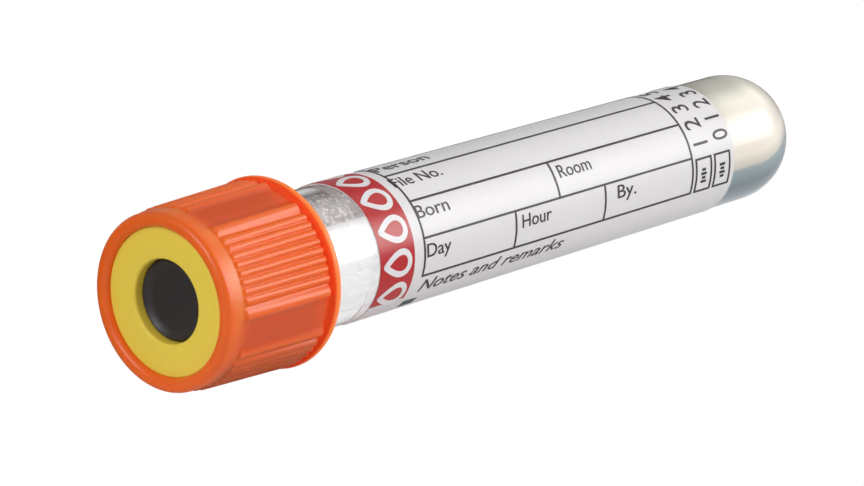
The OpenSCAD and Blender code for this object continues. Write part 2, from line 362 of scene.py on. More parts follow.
# %% Shader groups
WHITE, BLACK = (1.0, 1.0, 1.0, 1.0), (0.0, 0.0, 0.0, 1.0)
GRAIN_DEPTH = 0.02 * MM


def object_place(tree):
    return node(tree, "ShaderNodeTexCoord", out=None)["Object"]


def make_mottle():
    """Uneven colour and a shallow bump, at a given size in metres."""
    tree, given, result = new_tree(
        "mottle", "ShaderNodeTree",
        {"Color": WHITE, "Amount": 0.05, "Size": 0.001, "Roughness": 0.4, "Bump": 0.1},
        {"Color": WHITE, "Roughness": 0.4, "Normal": "NodeSocketVector"})
    place = object_place(tree)
    pitch = 1.0 / given["Size"]
    clouds = node(tree, "ShaderNodeTexNoise", Vector=place, Scale=pitch, Detail=4.0)
    grain = node(tree, "ShaderNodeTexNoise", Vector=place, Scale=pitch * 5.0, Detail=2.0)
    swing = (clouds - 0.5) * given["Amount"]
    put(vector_sum(tree, "SCALE", given["Color"], Scale=swing * 2.0 + 1.0), result["Color"])
    put(given["Roughness"] + swing, result["Roughness"])
    put(node(tree, "ShaderNodeBump", Strength=given["Bump"], Height=grain * GRAIN_DEPTH,
             Distance=1.0), result["Normal"])
    return tree


def make_tube_space():
    """Turns a place into millimetres along the tube, and up and to the front from its axis."""
    tree, _, result = new_tree("tube_space", "ShaderNodeTree", {},
                               {"Along": 0.0, "Up": 0.0, "Front": 0.0})
    local = vector_sum(tree, "SUBTRACT", object_place(tree), tuple(crest))
    for name, way in (("Along", along), ("Up", top), ("Front", front)):
        put(vector_sum(tree, "DOT_PRODUCT", local, tuple(way), out=1) / MM, result[name])
    return tree


def tube_space(tree):
    return node(tree, "ShaderNodeGroup", node_tree=TUBE_SPACE, out=None)


MOTTLE, TUBE_SPACE = make_mottle(), make_tube_space()
print("groups:", MOTTLE.name, "and", TUBE_SPACE.name)

# %% [markdown]
# ## Plain finishes
# The cap, the ring, the rubber, the film and the inks are all one kind of finish: a Principled
# shader whose colour, roughness and bump come from the mottle. They differ in colour, gloss, and in
# how far light travels inside them, which is what makes thin orange plastic glow at its edges.

# %% Finishes of the opaque pieces


def linear(red, green, blue):
    """A colour as a screen shows it, from 0 to 255, turned into the shader's linear colour."""
    shares = [value / 255 for value in (red, green, blue)]
    return (*(s / 12.92 if s <= 0.04045 else ((s + 0.055) / 1.055) ** 2.4 for s in shares), 1.0)


def new_material(name):
    material = bpy.data.materials.new(name)
    material.use_nodes = True
    tree = material.node_tree
    return material, tree, tree.nodes["Principled BSDF"]


def mottled(name, color, roughness, amount=0.05, size=0.001, bump=0.1, **shader):
    """A Principled finish whose colour, roughness and normal come from the mottle group."""
    material, tree, skin = new_material(name)
    uneven = node(tree, "ShaderNodeGroup", node_tree=MOTTLE, Color=color, Amount=amount,
                  Size=size, Roughness=roughness, Bump=bump, out=None)
    fill(skin, Base_Color=uneven["Color"], Roughness=uneven["Roughness"],
         Normal=uneven["Normal"], **shader)
    return material


yellow = mottled("ring_yellow", linear(248, 220, 80), 0.5, amount=0.03, bump=0.2,
                 Subsurface_Weight=0.2, Subsurface_Radius=(1.0, 0.8, 0.2),
                 Subsurface_Scale=0.5 * MM)
rubber = mottled("black_rubber", linear(44, 38, 40), 0.42, amount=0.12, bump=0.4)
film = mottled("white_film", linear(236, 233, 234), 0.36, amount=0.02, size=0.002, bump=0.15,
               Sheen_Weight=0.4, Sheen_Roughness=0.25)
red_ink = mottled("band_red", linear(190, 18, 26), 0.28, amount=0.03, size=0.002, bump=0.15)
dark_ink = mottled("print_black", linear(52, 44, 46), 0.4, amount=0.2, size=0.0006, bump=0.1)
green_ink = mottled("print_green", linear(60, 84, 76), 0.5, amount=0.2, size=0.0006, bump=0.1)
white_ink = mottled("band_white", linear(238, 236, 238), 0.3, amount=0.02, bump=0.1)
print("opaque finishes:", [m.name for m in bpy.data.materials])

# %% [markdown]
# The film's inner side shows through the bare tube. It gets a painted glow for the table's light
# through the thin film: dim high up, as painted shade, and brighter further down.

# %% The back of the film
# the two colours are a painted glow: dim as painted shade high up, bright as painted light low down
BACK_UP, BACK_SHADE_GLOW, BACK_LIT_GLOW = (1.0, -5.0), (0.19, 0.175, 0.17, 1.0), (0.9, 0.86, 0.87, 1.0)


def make_film_back():
    material = mottled("film_back", linear(244, 234, 231), 0.5, amount=0.03, size=0.002, bump=0.1,
                       Emission_Strength=0.7)
    tree = material.node_tree
    # painted glow, dim high up and brighter lower down
    low = tube_space(tree)["Up"].ramp(*BACK_UP)
    fill(tree.nodes["Principled BSDF"], Emission_Color=low.blend(BACK_SHADE_GLOW, BACK_LIT_GLOW))
    return material


film_back = make_film_back()
print("inner side of the film:", film_back.name)

# %% [markdown]
# ## Clear plastic and gel
# The tube is clear plastic, which bends light a little more than window glass does. Real lamps shine
# through it, but a path tracer finds them badly through a bent wall, so shadow rays pass straight
# through. Its upper rim gets a painted grey shade. The gel is milky, and its colour is painted light
# and shade that follows its height in the tube: cream as if lit through, and blue-grey as painted
# shade of its own dark underside.

# %% The clear plastic
# the second colour is a painted grey shade for the tube's upper rim
CLEAR, UPPER_RIM_SHADE = (0.985, 0.985, 0.99, 1.0), (0.34, 0.33, 0.33, 1.0)
SHADOW_TINT, RIM_SHADE_UP = (0.94, 0.95, 0.95, 1.0), (-2.0, 1.0)
LABEL_END, DULL_LENGTH, CLEAR_ROUGHNESS, DULL_ROUGHNESS = LABEL_Z + LABEL_LENGTH, 20.0, 0.06, 0.14


def make_clear_plastic():
    """Clear, with a painted grey shade in its upper rim, and duller towards the round end."""
    material, tree, skin = new_material("tube_plastic")
    space = tube_space(tree)
    facing = node(tree, "ShaderNodeLayerWeight", 0.5, out=1)
    # painted shade: grey at grazing angles, only in the upper half of the tube
    shade_share = facing.ramp(0.5, 1.0, smooth=False) * space["Up"].ramp(*RIM_SHADE_UP)
    dull = space["Along"].ramp(LABEL_END - DULL_LENGTH, LABEL_END, CLEAR_ROUGHNESS, DULL_ROUGHNESS)
    fill(skin, Base_Color=shade_share.blend(CLEAR, UPPER_RIM_SHADE), Roughness=dull, IOR=1.57,
         Specular_IOR_Level=0.2, Transmission_Weight=1.0)
    open_air = node(tree, "ShaderNodeBsdfTransparent", SHADOW_TINT)
    is_shadow = node(tree, "ShaderNodeLightPath", out=None)["Is Shadow Ray"]
    both = node(tree, "ShaderNodeMixShader", is_shadow, Out(skin.outputs[0]), open_air)
    fill(tree.nodes["Material Output"], Surface=both)
    return material


clear = make_clear_plastic()
print("clear finish:", clear.name)

# %% The milky gel
# painted light and shade by height: lit cream high up, shaded blue-grey low down
GEL_LIGHT_AND_SHADE = ((-4.8, (236, 238, 240)), (-3.7, (160, 170, 176)), (-2.6, (128, 142, 150)),
              (-1.5, (148, 164, 170)), (-1.1, (160, 172, 174)), (-0.85, (212, 206, 194)),
              (0.2, (240, 232, 220)), (1.4, (240, 233, 222)), (3.2, (246, 240, 229)),
              (4.2, (242, 237, 223)), (4.9, (218, 216, 203)))
# the first value is the strength of a painted glow on the gel
GEL_GLOW, LIFT_FROM, LIFT_GAIN = 0.06, -1.2, 0.1


def make_milky_gel():
    """Colours, as painted light and shade, by height above the tube's axis. In the round end the
    layers bend upwards.
    """
    material, tree, skin = new_material("milky_gel")
    space = tube_space(tree)
    past = (space["Along"] - (END_Z + LIFT_FROM)).math("MAXIMUM", 0.0)
    level = space["Up"] - past ** 2.0 * LIFT_GAIN
    layers = node(tree, "ShaderNodeValToRGB", level.ramp(-END_R, END_R, smooth=False))
    ramp = layers.socket.node.color_ramp
    while len(ramp.elements) < len(GEL_LIGHT_AND_SHADE):
        ramp.elements.new(0.5)
    for element, (up, color) in zip(ramp.elements, GEL_LIGHT_AND_SHADE):
        element.position = (up + END_R) / (2 * END_R)
        element.color = linear(*color)
    fill(skin, Base_Color=layers, Emission_Color=layers, Emission_Strength=GEL_GLOW,
         Roughness=0.5, IOR=1.45, Specular_IOR_Level=0.1, Subsurface_Weight=0.4,
         Subsurface_Radius=(1.0, 0.9, 0.75), Subsurface_Scale=0.6 * MM)
    return material


milky = make_milky_gel()
print("gel finish:", milky.name)

# %% [markdown]
# ## The threads
# A screw thread follows a rule: it climbs one lead in each turn. We could sweep a little profile
# along a spiral, but a clear tube needs its thread and its wall in one skin, or the seam between
# them shows. So this tree takes a smooth wall with fine rings, works out how far each point is from
# the thread's middle line, and pushes the wall out to the crest there. The same tree makes the
# tube's thread outwards and the cap's thread inwards.

# %% A tree that raises a thread on a wall
THREAD_LEAD, THREAD_FROM_MOUTH, THREAD_HEIGHT, THREAD_ROOM = 6.0, 2.0, 0.42, 0.15
TUBE_THREAD_Z = MOUTH_Z + THREAD_FROM_MOUTH
CAP_THREAD_Z = TUBE_THREAD_Z + THREAD_LEAD / 4


def polar(tree):
    """A point's position, its angle around the axis in degrees, its radius and its height."""
    place = node(tree, "GeometryNodeInputPosition")
    parts = split(place)
    turn = parts["Y"].math("ARCTAN2", parts["X"]).math("DEGREES")
    radius = (parts["X"] ** 2.0 + parts["Y"] ** 2.0).math("SQRT")
    return place, turn, radius, parts["Z"]


def push_out(geometry, place, radius, distance):
    """Moves points away from the axis."""
    tree = geometry.tree
    flat = vector_sum(tree, "MULTIPLY", place, (1.0, 1.0, 0.0))
    move = vector_sum(tree, "SCALE", flat, Scale=distance / radius)
    return node(tree, "GeometryNodeSetPosition", geometry, Offset=move)


def make_thread_tree():
    tree, size, result = geometry_tree("thread_on_wall", {
        "Start": TUBE_THREAD_Z, "Lead": THREAD_LEAD, "Starts": 2, "Sweep": 150.0, "Run": 0.16,
        "Wall radius": MOUTH_R, "Crest radius": MOUTH_R + THREAD_HEIGHT, "Near": 0.2,
        "Root width": 0.9, "Crest width": 0.5, "Material": "NodeSocketMaterial"})
    place, turn, radius, height = polar(tree)
    climbed = turn.math("WRAP", 360.0 / size["Starts"], 0.0)
    off = height - size["Start"] - climbed * size["Lead"] / 360.0
    flank = abs(off).ramp(size["Root width"] * 0.5, size["Crest width"] * 0.5)
    share = climbed / size["Sweep"]
    rise = share.math("MINIMUM", 1.0 - share).ramp(0.0, size["Run"])
    near = radius.math("COMPARE", size["Wall radius"], size["Near"])
    reach = size["Crest radius"] - size["Wall radius"]
    moved = push_out(size["Geometry"], place, radius, flank * rise * near * reach)
    return finish_tree(moved, result, size["Material"])


THREAD = make_thread_tree()
print("threads start at", TUBE_THREAD_Z, "mm on the tube and", CAP_THREAD_Z, "mm in the cap")

# %% [markdown]
# ## The tube
# Its profile runs down the outside, round the end, and back up the inside to a softly rounded mouth.
# The rings are close together only where the thread needs them.

# %% The clear tube
RIM_R, FINE_STEP, NEAR_STEP, WIDE_STEP = 0.3, 0.1, 1.0, 5.0
END_STEPS, TUBE_SLICES, INNER_SLICES = 28, 160, 128
THREAD_ZONE = (TUBE_THREAD_Z - 0.6, TUBE_THREAD_Z + 3.1)


def tube_profile():
    inner_end = END_R - WALL
    rim_out, rim_in = MOUTH_R - RIM_R, MOUTH_R - WALL + RIM_R
    zone_from, zone_to = THREAD_ZONE
    profile = arc(MOUTH_Z + RIM_R, rim_out, RIM_R, 180, 90, 4)
    profile += rings(zone_from, zone_to, tube_r(zone_from), tube_r(zone_to), FINE_STEP)
    profile += rings(LABEL_Z, END_Z, tube_r(LABEL_Z), END_R, WIDE_STEP)
    profile += arc(END_Z, 0, END_R, 90, 0, END_STEPS)[1:-1] + [(END_Z + END_R, 0)]
    profile += [(END_Z + inner_end, 0)] + arc(END_Z, 0, inner_end, 0, 90, END_STEPS)[1:-1]
    profile += rings(END_Z, LABEL_Z, inner_end, tube_r(LABEL_Z) - WALL, WIDE_STEP)
    profile += rings(zone_to, zone_from, tube_r(zone_to) - WALL, tube_r(zone_from) - WALL,
                     NEAR_STEP)
    return profile + arc(MOUTH_Z + RIM_R, rim_in, RIM_R, 270, 180, 4)


tube_mesh = run_tree(THREAD, {
    "Start": TUBE_THREAD_Z, "Wall radius": tube_r(TUBE_THREAD_Z),
    "Crest radius": MOUTH_R + THREAD_HEIGHT, "Material": clear},
    lathe(tube_profile(), even_slices(TUBE_SLICES)))
add_piece("clear_tube", tube_mesh, "tube_body", "clear_plastic", clear, "tube")

# %% [markdown]
# ## The cap's ribs
# The ribs stand in four groups, each with fine ribs between two broad ones. They could be separate
# bars set on the cap, but moulded ribs melt into their wall with a small fillet. So a second tree
# raises them from the wall itself: it folds the angle into one group, finds the nearest rib, and
# lifts the wall to the rib's top along a soft bell. The ribs start with a blunt end and run out
# where the wall flares to the rear bead.

# %% A tree that raises ribs on the cap
RIB_TURN, SIDE_GROUP, FINE_RIBS, RIB_PITCH, BROAD_GAP = 59.0, 85.5, 8, 5.8, 8.9
RIB_START, RIB_END, RUN_IN, RUN_OUT = 2.05, 12.9, 0.3, 0.35
FINE_POWER, BROAD_POWER = 0.85, 1.3   # below 1 a bell is full, and above 1 it is slender


def angle_in_group(turn, first, side):
    """How far an angle is from the middle of its own rib group, of the four round the cap."""
    off = abs((turn - first).math("WRAP", 180.0, -180.0))
    return off.math("MINIMUM", abs(off - side).math("MINIMUM", 180.0 - off))


def bell(off, radius, half_width, power):
    """1 on a rib's middle and 0 from its foot on, for an angle off its middle."""
    share = off.math("RADIANS") * radius / half_width
    return (1.0 - share ** 2.0).math("MAXIMUM", 0.0) ** power


def make_rib_tree():
    tree, size, result = geometry_tree("cap_ribs", {
        "Turn": RIB_TURN, "Side group": SIDE_GROUP, "Fine ribs": FINE_RIBS, "Pitch": RIB_PITCH,
        "Broad gap": BROAD_GAP, "Fine half width": 0.42, "Broad half width": 0.72,
        "Start": RIB_START, "End": RIB_END, "Front radius": 8.29, "Rear radius": 8.52,
        "Broad rise": 0.05, "Skin radius": 7.7, "Material": "NodeSocketMaterial"})
    place, turn, radius, height = polar(tree)
    angle = angle_in_group(turn, size["Turn"], size["Side group"])
    last = (size["Fine ribs"] - 1.0) * 0.5
    nearest = ((angle / size["Pitch"] + last).math("ROUND") - last).math("MINIMUM", last)
    fine_off = angle - nearest * size["Pitch"]
    broad_off = angle - last.math("MULTIPLY_ADD", size["Pitch"], size["Broad gap"])
    run_in = height.ramp(size["Start"], size["Start"] + RUN_IN)
    run_out = height.ramp(size["End"], size["End"] - RUN_OUT)
    ends = run_in * run_out * radius.math("GREATER_THAN", size["Skin radius"])
    rib_top = height.ramp(size["Start"], size["End"], size["Front radius"], size["Rear radius"],
                          smooth=False)
    fine = (rib_top - radius) * bell(fine_off, radius, size["Fine half width"], FINE_POWER)
    broad_top = rib_top + size["Broad rise"]
    broad = (broad_top - radius) * bell(broad_off, radius, size["Broad half width"], BROAD_POWER)
    lift = fine.math("MAXIMUM", broad).math("MAXIMUM", 0.0)
    moved = push_out(size["Geometry"], place, radius, lift * ends)
    return finish_tree(moved, result, size["Material"])


RIBS = make_rib_tree()
print(RIBS.name, "has", len(RIBS.nodes), "nodes")

# %% [markdown]
# ## The cap's plastic
# Orange plastic lets some light in. The smooth panels are thin and lose light into the dark inside,
# so they get painted shade, and so does the underside. The band behind the front lip gets a painted
# highlight. The rear bead is seen against the bright table, so it gets a painted highlight and a
# painted glow, behind a groove with painted deep-red shade and a painted glow. All of this follows
# the place on the cap, so the finish reads the tube's own terms and the ribs' own angles.
# Each mask below is told by two places: where it is 0, and where it is 1.

# %% The cap's orange
# the plastic's own orange, then painted shade for the underside and a painted highlight behind the lip
ORANGE, UNDERSIDE_SHADE_ORANGE, LIP_HIGHLIGHT_ORANGE = linear(253, 108, 20), linear(204, 88, 18), linear(255, 124, 40)
# painted shade on the smooth panels, lighter towards their rear end
PANEL_SHADE_ORANGE, PANEL_END_SHADE_ORANGE = linear(222, 80, 9), linear(240, 88, 14)
# painted deep-red shade in the groove before the bead, and a painted highlight on the bead
GROOVE_SHADE_ORANGE, BEAD_HIGHLIGHT_ORANGE = linear(250, 76, 2), linear(255, 134, 56)
# a painted red glow in the groove
GROOVE_GLOW = (0.45, 0.03, 0.0, 1.0)
# the first value is the strength of the painted glow in the groove and on the rear bead
BEAD_GLOW, CAP_ROUGHNESS, GROOVE_DULLER = 0.2, 0.34, 0.5
PANEL_ANGLE, PANEL_START = (29.5, 33.5), (RIB_START - 1.4, RIB_START + 1.2)
PANEL_END = (10.42, 12.62)
LIP_BAND_START, LIP_HIGHLIGHT_UP = (EDGE_R, RIB_START - 0.6), (-5.0, 2.0)
LIP_BAND_END = (RIB_START + 0.3, RIB_START - 0.2)
UNDER_UP, UNDER_START = (-2.5, -6.0), (EDGE_R - 0.2, RIB_START)
GROOVE_START, GROOVE_END, BEAD_START = (12.47, 12.67), (13.32, 13.12), (13.12, 13.37)


def make_cap_orange():
    material = mottled("cap_orange", ORANGE, CAP_ROUGHNESS, amount=0.03, bump=0.2,
                       Subsurface_Weight=0.5, Subsurface_Radius=(1.0, 0.3, 0.06),
                       Subsurface_Scale=0.5 * MM, Emission_Strength=BEAD_GLOW)
    tree = material.node_tree
    space = tube_space(tree)
    depth, up = space["Along"], space["Up"]
    turn = space["Front"].math("ARCTAN2", up).math("DEGREES")
    # painted shade on the smooth panels between the rib groups
    panel = angle_in_group(turn, RIB_TURN, SIDE_GROUP).ramp(*PANEL_ANGLE)
    panel = panel * depth.ramp(*PANEL_START)
    # painted highlight on the band behind the front lip, brighter towards the top
    band = depth.ramp(*LIP_BAND_START) * depth.ramp(*LIP_BAND_END) * up.ramp(*LIP_HIGHLIGHT_UP)
    # painted shade on the cap's underside
    under = up.ramp(*UNDER_UP) * depth.ramp(*UNDER_START)
    # painted deep-red shade in the groove, and a painted highlight on the rear bead
    groove, bead = depth.ramp(*GROOVE_START), depth.ramp(*BEAD_START)
    color = band.blend(ORANGE, LIP_HIGHLIGHT_ORANGE)
    color = panel.blend(color, depth.ramp(*PANEL_END).blend(PANEL_SHADE_ORANGE, PANEL_END_SHADE_ORANGE))
    color = under.blend(color, UNDERSIDE_SHADE_ORANGE)
    color = bead.blend(groove.blend(color, GROOVE_SHADE_ORANGE), BEAD_HIGHLIGHT_ORANGE)
    dull = (groove * depth.ramp(*GROOVE_END)).math("MULTIPLY_ADD", GROOVE_DULLER, CAP_ROUGHNESS)
    fill(tree.nodes["Group"], Color=color, Roughness=dull)
    # painted glow: the groove glows deep red and the rear bead orange, though neither is a lamp
    glow = bead.blend(groove.blend(BLACK, GROOVE_GLOW), ORANGE)
    fill(tree.nodes["Principled BSDF"], Emission_Color=glow)
    return material


orange = make_cap_orange()
print("cap finish:", orange.name)

# %% [markdown]
# ## The cap
# One closed skin: a rounded front lip, the ribbed wall, a flare to the rear bead, and inside it the
# chamber with its thread, the bead that carries the stopper, the flange, and the ring's pocket.
# Slices stand close together under the ribs and wide apart on the smooth panels between them.

# %% The screw cap
BEAD_Z, FLARE, BEAD_FROM = CAP_LENGTH - EDGE_R, 0.8, 130
RETAINER_R, LIP_R, SNAP_ROOM = 0.35, 0.62, 0.05
RETAINER_Z = COLLAR_Z + COLLAR_LENGTH + SNAP_ROOM + RETAINER_R
RELIEF_R, CHAMFER, THREAD_STEP = HOLE_R + 0.6, 0.3, 0.12
CAP_THREAD_ZONE = (CAP_THREAD_Z + 3.0, CAP_THREAD_Z - 0.5)


def cap_slices():
    """Fine slices under each rib group, and wide ones between the groups."""
    group_half, fine_step, panel_slices = 31.5, 0.45, 12
    fine_count = round(2 * group_half / fine_step)
    middles = [0, SIDE_GROUP, 180, 360 - SIDE_GROUP, 360]
    slices = []
    for middle, following in zip(middles, middles[1:]):
        start = RIB_TURN + middle - group_half
        slices += [start + i * fine_step for i in range(fine_count)]
        gap = following - middle - fine_count * fine_step
        slices += [start + fine_count * fine_step + gap * i / panel_slices
                   for i in range(panel_slices)]
    return slices


def flare_rings(z_from, r_from, z_to, r_to):
    """A hollow curve that carries the wall out to the rear bead."""
    out_z, out_r = arc(z_to, r_to, EDGE_R, BEAD_FROM, BEAD_FROM, 1)[0]
    shares = [i / 8 for i in range(8)]
    return [(z_from + (out_z - z_from) * s, r_from + (out_r - r_from) * s ** 2.0) for s in shares]


def cap_profile():
    lip_r, bead_circle = CAP_FRONT_R - EDGE_R, BEAD_R - EDGE_R
    flare_z = BEAD_Z - FLARE
    pocket_r, chamber_z = RING_R + SNAP_ROOM, POCKET_DEPTH + FLANGE
    slope = (CAP_REAR_R - CAP_FRONT_R) / (flare_z - EDGE_R)
    # rings stand close together where the ribs start and end, and wide apart between
    wall = [RIB_START - 0.1 + 0.08 * i for i in range(7)]
    wall += [RIB_START + 0.6 + (RIB_END - RIB_START - 1.4) * i / 8 for i in range(9)]
    wall += [z for z, _ in rings(RIB_END - 0.7, flare_z, 0, 0, 0.07)][:-1]
    profile = arc(EDGE_R, lip_r, EDGE_R, 180, 90, 10)
    profile += [(z, CAP_FRONT_R + slope * (z - EDGE_R)) for z in wall]
    profile += flare_rings(flare_z, CAP_REAR_R, BEAD_Z, bead_circle)
    profile += arc(BEAD_Z, bead_circle, EDGE_R, BEAD_FROM, 0, 16)
    profile += [(CAP_LENGTH, CAP_BORE_R + CHAMFER), (CAP_LENGTH - CHAMFER, CAP_BORE_R)]
    profile += rings(*CAP_THREAD_ZONE, CAP_BORE_R, CAP_BORE_R, THREAD_STEP)
    profile += arc(RETAINER_Z, CAP_BORE_R, RETAINER_R, 360, 180)
    profile += [(chamber_z, CAP_BORE_R), (chamber_z, RELIEF_R), (POCKET_DEPTH, RELIEF_R)]
    profile += [(POCKET_DEPTH, pocket_r), (LIP_R + 0.1, pocket_r)]
    return profile + arc(LIP_R, pocket_r + LIP_R, LIP_R, 268, 185, 10)


cap_mesh = lathe(cap_profile(), cap_slices())
cap_mesh = run_tree(RIBS, {"Material": orange}, cap_mesh)
cap_mesh = run_tree(THREAD, {
    "Start": CAP_THREAD_Z, "Wall radius": CAP_BORE_R, "Crest radius": MOUTH_R + THREAD_ROOM,
    "Material": orange}, cap_mesh)
add_piece("ribbed_cap", cap_mesh, "cap_body", "cap_plastic", orange, "screw_cap")

# %% [markdown]
# ## The ring and the stopper
# The yellow ring snaps into the cap's front pocket, and its hole guides the needle. Behind it sits
# the rubber stopper: a boss with a rounded edge, a collar that the cap carries, and a plug with two
# sealing beads and a hollow underneath.

# %% The yellow ring
HOLE_EDGE, RING_EDGE, SNAP_Z, SNAP_R, RING_SLICES, RING_CREASE = 0.28, 0.06, 1.675, 0.25, 192, 50


def ring_profile():
    back_z, side_r = POCKET_DEPTH - 0.02, RING_R + 0.04
    rim_z = back_z - 0.1
    profile = arc(RING_Z + HOLE_EDGE, HOLE_R + HOLE_EDGE, HOLE_EDGE, 270, 180)
    profile += arc(RING_Z + RING_EDGE, side_r - RING_EDGE, RING_EDGE, 180, 90, 5)
    profile += arc(SNAP_Z, side_r, SNAP_R, 180, 0, 6)
    return profile + [(back_z, side_r), (back_z, RELIEF_R), (rim_z, RELIEF_R), (rim_z, HOLE_R)]


add_piece("needle_ring", lathe(ring_profile(), even_slices(RING_SLICES), RING_CREASE), "cap_body",
          "ring_plastic", yellow, "safety_ring")

# %% The rubber stopper
BOSS_R, COLLAR_R, COLLAR_EDGE, PLUG_R, PLUG_LENGTH = HOLE_R - 0.08, CAP_BORE_R - 0.12, 0.2, 5.2, 7.0
HOLLOW_R, HOLLOW_DEPTH, FACE_EDGE, PLUG_EDGE, DISH, DISH_R = 3.4, 4.0, 0.25, 0.4, 0.4, 2.5
SEAL_R, SEAL_ROOM, SEALS_FROM_MOUTH = 0.55, 0.04, (1.5, 4.7)


def stopper_profile():
    foot_z, plug_end = COLLAR_Z + COLLAR_LENGTH, MOUTH_Z + PLUG_LENGTH
    foot_r, neck_z = CAP_BORE_R - RETAINER_R - 0.2, MOUTH_Z - 0.05
    hollow_z = plug_end - HOLLOW_DEPTH + HOLLOW_R
    rim_r, edge_r = BOSS_R - FACE_EDGE, COLLAR_R - COLLAR_EDGE
    rise = [i / 12 for i in range(12)]
    profile = [(FACE_Z + DISH, 0)]
    profile += [(FACE_Z + DISH * (1 - s * s), DISH_R + (rim_r - DISH_R) * s) for s in rise]
    profile += arc(FACE_Z + FACE_EDGE, rim_r, FACE_EDGE, 180, 90) + [(COLLAR_Z, BOSS_R)]
    profile += arc(COLLAR_Z + COLLAR_EDGE, edge_r, COLLAR_EDGE, 180, 90, 4)
    profile += arc(foot_z - COLLAR_EDGE, edge_r, COLLAR_EDGE, 90, 0, 4)
    profile += [(foot_z, foot_r), (neck_z, foot_r), (neck_z, PLUG_R)]
    for seal_z in [MOUTH_Z + z for z in SEALS_FROM_MOUTH]:
        profile += arc(seal_z, tube_r(seal_z) - WALL - SEAL_ROOM - SEAL_R, SEAL_R, 160, 20)
    profile += arc(plug_end - PLUG_EDGE, PLUG_R - PLUG_EDGE, PLUG_EDGE, 90, 0, 5)
    profile += [(plug_end, HOLLOW_R)]
    return profile + arc(hollow_z, 0, HOLLOW_R, 90, 180, 10)[:-1] + [(hollow_z - HOLLOW_R, 0)]


add_piece("rubber_stopper", lathe(stopper_profile(), even_slices(INNER_SLICES)), "stopper_body",
          "rubber", rubber, "stopper")

# %% [markdown]
# ## The gel
# The gel fills the round end, and its inner face slopes, as it does after the tube has lain on its
# side. We turn its round form, cut it with a tilted plane, and close the cut. It reaches a hair into
# the tube's wall, so that plastic and gel touch without a film of air, as wet gel does.

# %% The separator gel
GEL_LENGTH, GEL_SLOPE, GEL_TURN, GEL_GRIP = 26.0, 35.0, 188.0, 0.03


def everything(build):
    """All points, edges and faces of a bmesh."""
    return build.verts[:] + build.edges[:] + build.faces[:]


def gel_mesh():
    inner_end, start_z = END_R - WALL + GEL_GRIP, END_Z - GEL_LENGTH
    profile = [(start_z, 0)]
    profile += rings(start_z, END_Z, tube_r(start_z) - WALL + GEL_GRIP, inner_end, 1)
    profile += arc(END_Z, 0, inner_end, 90, 0, END_STEPS)[1:-1] + [(END_Z + inner_end, 0)]
    build = bmesh.new()
    build.from_mesh(lathe(profile, even_slices(INNER_SLICES)))
    turn, slope = math.radians(GEL_TURN), math.radians(GEL_SLOPE)
    long_side = Vector((math.cos(turn), math.sin(turn), 0))
    low_point = long_side * inner_end + Vector((0, 0, END_Z + inner_end - GEL_LENGTH))
    normal = Vector((0, 0, 1)) * math.sin(slope) + long_side * math.cos(slope)
    cut = bmesh.ops.bisect_plane(build, geom=everything(build), plane_co=low_point,
                                 plane_no=normal, clear_inner=True)
    rim = [part for part in cut["geom_cut"] if isinstance(part, bmesh.types.BMEdge)]
    bmesh.ops.contextual_create(build, geom=rim)
    return tidy(build)


add_piece("milky_gel", gel_mesh(), "tube_body", "gel", milky, "separator_gel")

# %% [markdown]
# ## The label's film
# The label is a thin film around the tube's cone, with a clear strip left open behind. It stays a
# real sheet with two sides and four edges, because its inner side shows through the bare tube.

# %% The film
FORM_Z, FORM_LENGTH, ROW_ANGLE, FORM_LOW = LABEL_Z + 5.93, 37.1, 31.9, 106.6
BAND_WIDTH, BAND_END = 4.54, 126.0


def film_patch(z, length, start, sweep, low, high, step=2.0):
    """A closed sheet on the tube's cone, between two heights above the wall."""
    build = bmesh.new()
    count = max(1, round(sweep / step))
    corners = ((z, low), (z, high), (z + length, high), (z + length, low))
    loops = []
    for i in range(count + 1):
        a = math.radians(start + sweep * i / count)
        loops.append([build.verts.new(((tube_r(h) + up) * math.cos(a),
                                       (tube_r(h) + up) * math.sin(a), h)) for h, up in corners])
    for before, after in zip(loops, loops[1:]):
        for i in range(4):
            j = (i + 1) % 4
            build.faces.new((before[i], before[j], after[j], after[i]))
    build.faces.new(loops[0])
    build.faces.new(loops[-1][::-1])
    return tidy(build)


label = add_piece("film_label", film_patch(LABEL_Z, LABEL_LENGTH, LABEL_FROM, LABEL_SWEEP,
                                           LABEL_LOW, LABEL_HIGH),
                  "tube_body", "label_film", film, "label")
label.data.materials.append(film_back)
for face in label.data.polygons:
    offset = face.center - crest
    outwards = offset - along * offset.dot(along)
    face.material_index = 1 if face.normal.dot(outwards.normalized()) < -0.5 else 0
add_piece("red_band", film_patch(LABEL_Z, BAND_WIDTH, LABEL_FROM, BAND_END - LABEL_FROM,
                                 LABEL_HIGH, LABEL_HIGH + INK),
          "tube_body", "red_ink", red_ink, "label_red_band")

# %% [markdown]
# ## Print, drawn flat and wrapped
# Print is easy to lay out on a flat sheet: X runs along the tube in millimetres and Y runs around it
# in degrees. One group then wraps whatever was drawn onto the cone. The ruled form repeats a line
# and a divider, so a small group draws one row, and the form's tree places a row for each line.

# %% Groups for the ruled form
LINE_WIDTH, LINE_ANGLE = 0.2, 1.8


def join(tree, *parts):
    """Joins pieces of geometry."""
    joined = node(tree, "GeometryNodeJoinGeometry")
    for part in parts:
        put(part, joined.socket.node.inputs[0])
    return joined


